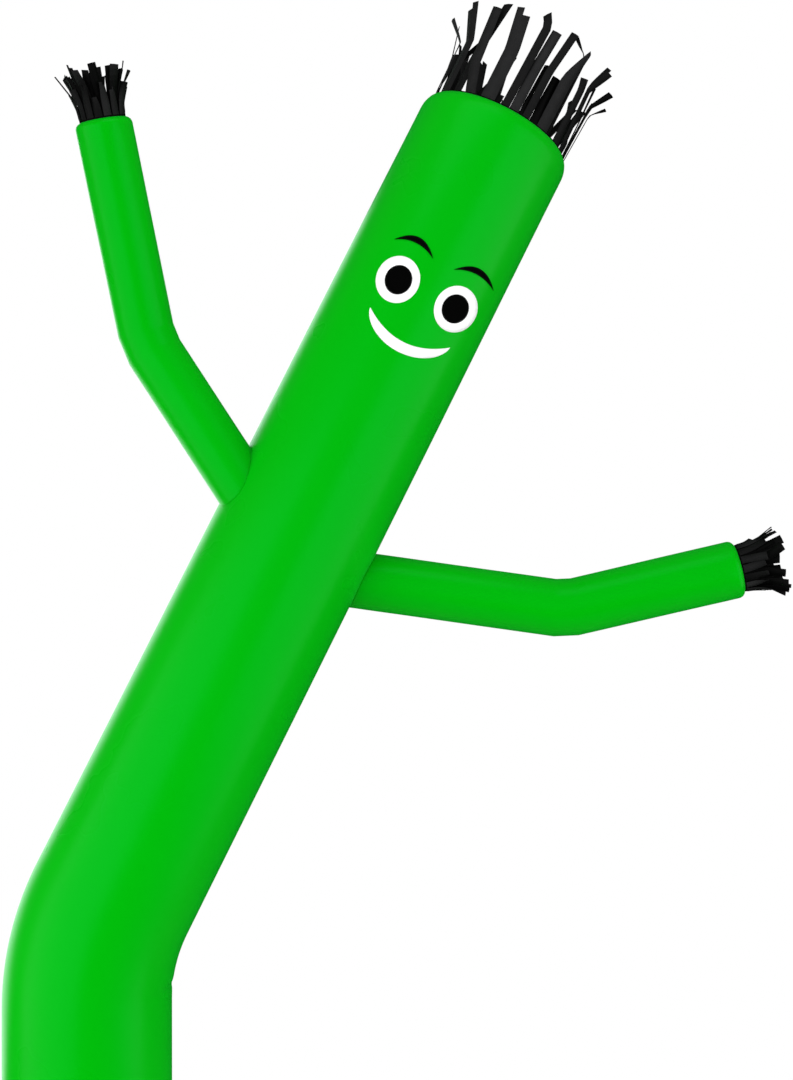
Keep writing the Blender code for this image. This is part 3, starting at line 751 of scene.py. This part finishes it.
def makeHeadFringe():
    size = headFringe
    strips = []
    for values in size["strips"]:
        row = dict(zip(size["columns"], values))
        for name in ("width", "length", "kinkAt", "slant", "notch"):
            row[name] /= 1000
        for name in ("angle", "leanLow", "turnLow", "leanHigh", "turnHigh", "twist"):
            row[name] = radians(row[name])
        for name in ("steps", "cup", "soft"):
            row[name] = size[name]
        # a head strip's painted light stays the same from root to tip
        row["paintedLightHigh"] = row["pale"]
        strips.append(row)
    shape, place = newFringe(), {}
    makeFringeRow(shape, size["radius"], size["drop"], size["rise"], strips, place)
    return finishFringe("headFringe", shape, place, bodyFrame(bodySleeve["length"]), size["thickness"])


def handBand(side):
    # the radius of a hand's outer band, just inside the sleeve's rim
    return armSleeves[side]["handRadius"] - armCloth["rimDraw"] - handFringe["inset"]


def handStrips(side, layer, radius, draw):
    # one row of a hand's strips, uneven from one to the next; draw is a seeded random source
    size = handFringe
    strips = []
    for index in range(layer["strips"]):
        length = size["length"][side] * layer["share"] * (1 + layer["uneven"] * draw.uniform(-1, 1))
        lean = layer["step"] * (index % 2 - 0.5) + draw.uniform(-size["leanDraw"], size["leanDraw"])
        kink = size["kinkShare"] + draw.uniform(-size["kinkDraw"], size["kinkDraw"])
        strips.append({
            "angle": 2 * pi * (index + 0.5 * (layer["gap"] > 0)) / layer["strips"],
            "width": 2 * pi * radius / layer["strips"] * layer["rootShare"],
            "length": length, "kinkAt": length * kink,
            "leanLow": radians(layer["leanLow"] + lean / 3), "leanHigh": radians(layer["leanHigh"] + lean),
            "turnLow": radians(layer["turn"]) * draw.uniform(-size["turnLowDraw"], size["turnLowDraw"]),
            "turnHigh": radians(layer["turn"]) * draw.uniform(-1, 1),
            "twist": radians(size["twist"]) * draw.uniform(-1, 1),
            "slant": size["slant"] * draw.uniform(-1, 1),
            "notch": size["notch"] * draw.choice(size["notchDraw"]),
            # how much painted light a strip gets at its root and at its tip; less is painted shade
            "pale": layer["paintedLightLow"] * draw.uniform(size["paintedLightDraw"], 1),
            "paintedLightHigh": layer["paintedLightHigh"] * draw.uniform(0, 1),
            "steps": size["steps"], "cup": size["cup"], "soft": size["soft"],
        })
    return strips


def makeHandFringe(side):
    size, arm = handFringe, armSleeves[side]
    legs, _, fore = armPath(arm)
    draw = Random(size["seeds"][side])
    shape, place = newFringe(), {}
    for values in size["rows"]:
        layer = dict(zip(size["rowColumns"], values))
        radius = handBand(side) - layer["gap"]
        strips = handStrips(side, layer, radius, draw)
        makeFringeRow(shape, radius, size["drop"], size["rise"], strips, place)
    return finishFringe("handFringe_" + side, shape, place, standOn(legs[-1][1], fore), size["thickness"])


headPiece = makeHeadFringe()
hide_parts("head_fringe")
for side in armSleeves:
    makeHandFringe(side)
    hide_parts("hand_fringe_" + side)
print("fringes made")


faceLayout = {
    "belowRim": 0.345, "offset": 0.0193, "viewTurn": 1.17, "viewRise": 9.3,
    "gap": 0.0003, "thickness": 0.0007, "ovalSides": 64, "ovalRings": 6,
    "eye": (0.0592, 0.0398, 0.0428), "pupil": (0.058, 0.0245, 0.0266),    # half spacing, width and height
    "browHeight": 0.0612, "browRise": 0.0236, "browHollow": 0.012,
    "brows": {"left": (-0.0586, 0.040), "right": (0.0655, 0.0425)},       # middle, half width
    "smileDrop": -0.067, "smileHalf": 0.081, "smileDepth": 0.0475, "smileHollow": 0.028,
    "smileFullness": 0.58, "crescentSteps": 40, "hornWeld": 0.0003,
    "inset": 0.0022, "hornRoom": 2.4,      # stitches from the edge, and a horn's least width in such insets
}


def faceFrame():
    # the flat layout of the face: X across it, Y up along the body, Z towards whoever looks at it
    size = faceLayout
    turn, rise = radians(size["viewTurn"]), radians(size["viewRise"])
    towards = -(Vector((sin(turn), cos(turn), 0)) * cos(rise) + up * sin(rise))
    upward = (bodyLean - towards * bodyLean.dot(towards)).normalized()
    across = upward.cross(towards)
    middle = bodyBelowRim(size["belowRim"]) + across * size["offset"]
    return Matrix.Translation(middle) @ Matrix((across, upward, towards)).transposed().to_4x4()


facePlace = faceFrame()
bodyRimFrame = bodyFrame(bodySleeve["length"])


def pressPoint(x, y, lift):
    # a point of the flat layout, laid on the body along the line of sight, and the way out of it there
    size = bodySleeve
    towards = facePlace.col[2].to_3d()
    flat = facePlace @ Vector((x, y, 0))
    local = bodyRimFrame.inverted() @ (flat + towards * leaveBody(flat, towards, 0.0))
    angle = atan2(local.x, -local.y)
    lift += skinLift(size, angle, size["length"] + local.z, size["radius"], size["length"])
    outward = bodyRimFrame.to_3x3() @ Vector((local.x, local.y, 0)).normalized()
    return flat + towards * leaveBody(flat, towards, lift), outward


def patchLift(layer):
    # how far the underside of a patch is off the body's skin
    return faceLayout["gap"] + layer * (faceLayout["thickness"] + faceLayout["gap"])


def pressOn(shape, layer):
    # lays a flat shape on the body, and keeps its flat places as the cloth's UVs
    place = {v: (v.co.x, v.co.y) for v in shape.verts}
    for vert in shape.verts:
        vert.co = pressPoint(vert.co.x, vert.co.y, patchLift(layer))[0]
    layUv(shape, place)


def finishPatch(name, shape, outline, layer, cloth, node):
    # a patch with its row of stitches just inside its edge
    material, thread, slot = cloth
    pressOn(shape, layer)
    towards = facePlace.col[2].to_3d()
    shape.normal_update()
    wrong = [face for face in shape.faces if face.normal.dot(towards) < 0]
    bmesh.ops.reverse_faces(shape, faces=wrong)
    piece = finishPiece(name, shape, material, faceLayout["thickness"], 1.0)
    piece.data.set_sharp_from_angle(angle=radians(40))
    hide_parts(node)
    top = patchLift(layer) + faceLayout["thickness"]
    path = [pressPoint(x, y, top) for x, y in outline]
    return piece, sewStitches(name + "_stitches", stitchSpots(path, True), thread)


def ovalShape(centre, halfWidth, halfHeight):
    # rings drawn in from the edge, with the last one gathered to the middle
    shape = bmesh.new()
    size = faceLayout
    count = size["ovalRings"]
    place = Matrix.Translation((centre, 0, 0)) @ Matrix.Diagonal((halfWidth, halfHeight, 1, 1))
    ring = bmesh.ops.create_circle(shape, segments=size["ovalSides"], radius=1.0)["verts"]
    for index in range(count, 0, -1):
        ring = drawOut(shape, ring, True)
        share = max(index - 1, 0.001) / index      # the last ring keeps a little width until it is merged
        bmesh.ops.scale(shape, vec=(share, share, 1), verts=ring)
    bmesh.ops.pointmerge(shape, verts=ring, merge_co=(0, 0, 0))
    bmesh.ops.transform(shape, matrix=place, verts=shape.verts)
    return shape


def ovalOutline(centre, halfWidth, halfHeight):
    # the line of an oval's stitches
    inset, sides = faceLayout["inset"], faceLayout["ovalSides"]
    turns = [2 * pi * i / sides for i in range(sides)]
    return [(centre + (halfWidth - inset) * cos(t), (halfHeight - inset) * sin(t)) for t in turns]


def crescentEdges(share, outer, inner, fullness):
    # heights of a crescent's two edges at a share of its half width; a negative depth bulges downwards
    return outer * max(0.0, 1 - share ** 2) ** fullness, inner * (1 - share ** 2)


def crescentShape(centre, base, half, outer, inner, fullness):
    # a grid bent between two arcs on one chord
    shape = bmesh.new()
    steps = faceLayout["crescentSteps"]
    bmesh.ops.create_grid(shape, x_segments=steps, y_segments=3, size=1.0)
    for vert in shape.verts:
        share = sin(vert.co.x * pi / 2)
        far, near = crescentEdges(share, outer, inner, fullness)
        vert.co = Vector((centre + half * share, base + near + (far - near) * (vert.co.y + 1) / 2, 0))
    bmesh.ops.remove_doubles(shape, verts=shape.verts, dist=faceLayout["hornWeld"])
    return shape


def crescentOutline(centre, base, half, outer, inner, fullness):
    # the line of a crescent's stitches, as far into its horns as there is room for two rows
    inset, steps = faceLayout["inset"], faceLayout["crescentSteps"]
    away, back = [], []
    for index in range(steps + 1):
        share = sin((2 * index / steps - 1) * pi / 2)
        far, near = crescentEdges(share, outer, inner, fullness)
        if abs(far - near) > faceLayout["hornRoom"] * inset:
            pull = inset if outer > 0 else -inset
            away.append((centre + half * share, base + far - pull))
            back.append((centre + half * share, base + near + pull))
    return away + back[::-1]


def makeFace():
    size = faceLayout
    white, black = (whitePatch, whiteThread, "white_nylon"), (blackPatch, blackThread, "black_nylon")
    pairs = []
    for sign, side in ((-1, "left"), (1, "right")):
        for name, layer, cloth, node in (("eye", 0, white, "eye_white_"), ("pupil", 1, black, "pupil_")):
            spacing, wide, high = size[name]
            oval = (sign * spacing, wide, high)
            pairs.append(finishPatch(name + "Patch_" + side, ovalShape(*oval), ovalOutline(*oval),
                                     layer, cloth, node + side))
        centre, half = size["brows"][side]
        brow = (centre, size["browHeight"], half, size["browRise"], size["browHollow"], 1.0)
        pairs.append(finishPatch("browPatch_" + side, crescentShape(*brow), crescentOutline(*brow),
                                 0, black, "brow_" + side))
    smile = (0.0, size["smileDrop"], size["smileHalf"], -size["smileDepth"], -size["smileHollow"],
             size["smileFullness"])
    pairs.append(finishPatch("smilePatch", crescentShape(*smile), crescentOutline(*smile), 0, white, "smile"))
    return pairs


facePieces = makeFace()
print("face made")


studio = {
    "floorRadius": 2.5, "floorSides": 96, "floorColour": "#e0e0de", "floorRough": 0.9,
    # how strong the air's light is overhead and at the horizon, and the height under it at which it is gone
    "airHigh": 0.52, "airBelt": 0.6, "airDip": 0.25,
    "middle": (0.45, 0.05, 2.1),
    "lights": (
        # name, direction from the middle of the figure, distance, size, roll in degrees, power, colour
        ("softboxLeft", (-0.73, -0.68, -0.07), 3.2, (4.6, 3.8), 0, 98, "#ffffff"),
        ("softboxRim", (-0.54, 0.842, -0.06), 3.0, (2.3, 4.4), -27, 66, "#deffea"),
        ("softboxRight", (0.87, -0.49, -0.1), 3.2, (4.3, 3.4), 27, 79, "#ffffff"),
        ("softboxTop", (0.03, -0.45, 0.89), 1.84, (1.2, 0.9), 0, 5, "#ffffff"),
    ),
    "camera": (0.5647, -2.7454, 2.0825), "lens": 50, "sensor": 36,
}


def layFloor():
    # a matt painted board
    shape = bmesh.new()
    bmesh.ops.create_circle(shape, segments=studio["floorSides"], radius=studio["floorRadius"], cap_ends=True)
    mesh = meshOf("studioFloor", shape)
    look = {"Base Color": linear(studio["floorColour"]), "Roughness": studio["floorRough"]}
    mesh.materials.append(newMaterial("paleStudioFloor", look)[0])
    floor = addObject("studioFloor", mesh)
    floor.visible_glossy = False


def lightAir():
    # white to look at; as a light it is strongest all round the horizon, and none comes from below
    world = bpy.data.worlds.new("studioAir")
    bpy.context.scene.world = world
    world.use_nodes = True
    tree = world.node_tree
    tree.nodes.clear()
    seen = addNode(tree, "LightPath").outputs["Is Camera Ray"]
    way = addNode(tree, "TexCoord").outputs["Generated"]
    height = addNode(tree, "SeparateXYZ", links={0: way}).outputs["Z"]
    above = addNode(tree, "MapRange", None, {"To Min": studio["airBelt"], "To Max": studio["airHigh"]},
                    {"Value": height}).outputs[0]
    below = addNode(tree, "MapRange", None,
                    {"From Min": -studio["airDip"], "From Max": 0.0,
                     "To Min": 0.0, "To Max": studio["airBelt"]}, {"Value": height}).outputs[0]
    light = addNode(tree, "Math", {"operation": "MINIMUM"}, links={0: above, 1: below}).outputs[0]
    strength = addNode(tree, "MapRange", links={"Value": seen, "To Min": light}).outputs[0]
    air = addNode(tree, "Background", None, {"Color": linear("#ffffff")}, {"Strength": strength})
    addNode(tree, "OutputWorld", links={"Surface": air.outputs[0]})
    world.cycles_visibility.glossy = False


def hangLights():
    # softboxes round the figure, turned so that their edges lie along the leaning body
    for name, way, distance, (wide, high), roll, power, colour in studio["lights"]:
        lamp = bpy.data.lights.new(name, "AREA")
        lamp.shape = "RECTANGLE"
        lamp.size, lamp.size_y = wide, high
        lamp.energy = power
        lamp.color = linear(colour)[:3]
        holder = addObject(name, lamp)
        way = Vector(way).normalized()
        holder.location = Vector(studio["middle"]) + way * distance
        facing = (-way).to_track_quat("-Z", "Y").to_matrix()
        holder.rotation_euler = (facing @ Matrix.Rotation(radians(-roll), 3, "Z")).to_euler()
        holder.visible_camera = False


def setCamera():
    eye = bpy.data.cameras.new("mainCamera")
    eye.lens = studio["lens"]
    eye.sensor_width = studio["sensor"]
    camera = addObject("mainCamera", eye)
    camera.location = studio["camera"]
    camera.rotation_euler = (radians(90), 0, 0)
    bpy.context.scene.camera = camera
    bpy.context.scene.view_settings.view_transform = "Standard"


layFloor()
lightAir()
hangLights()
setCamera()
print("studio set")
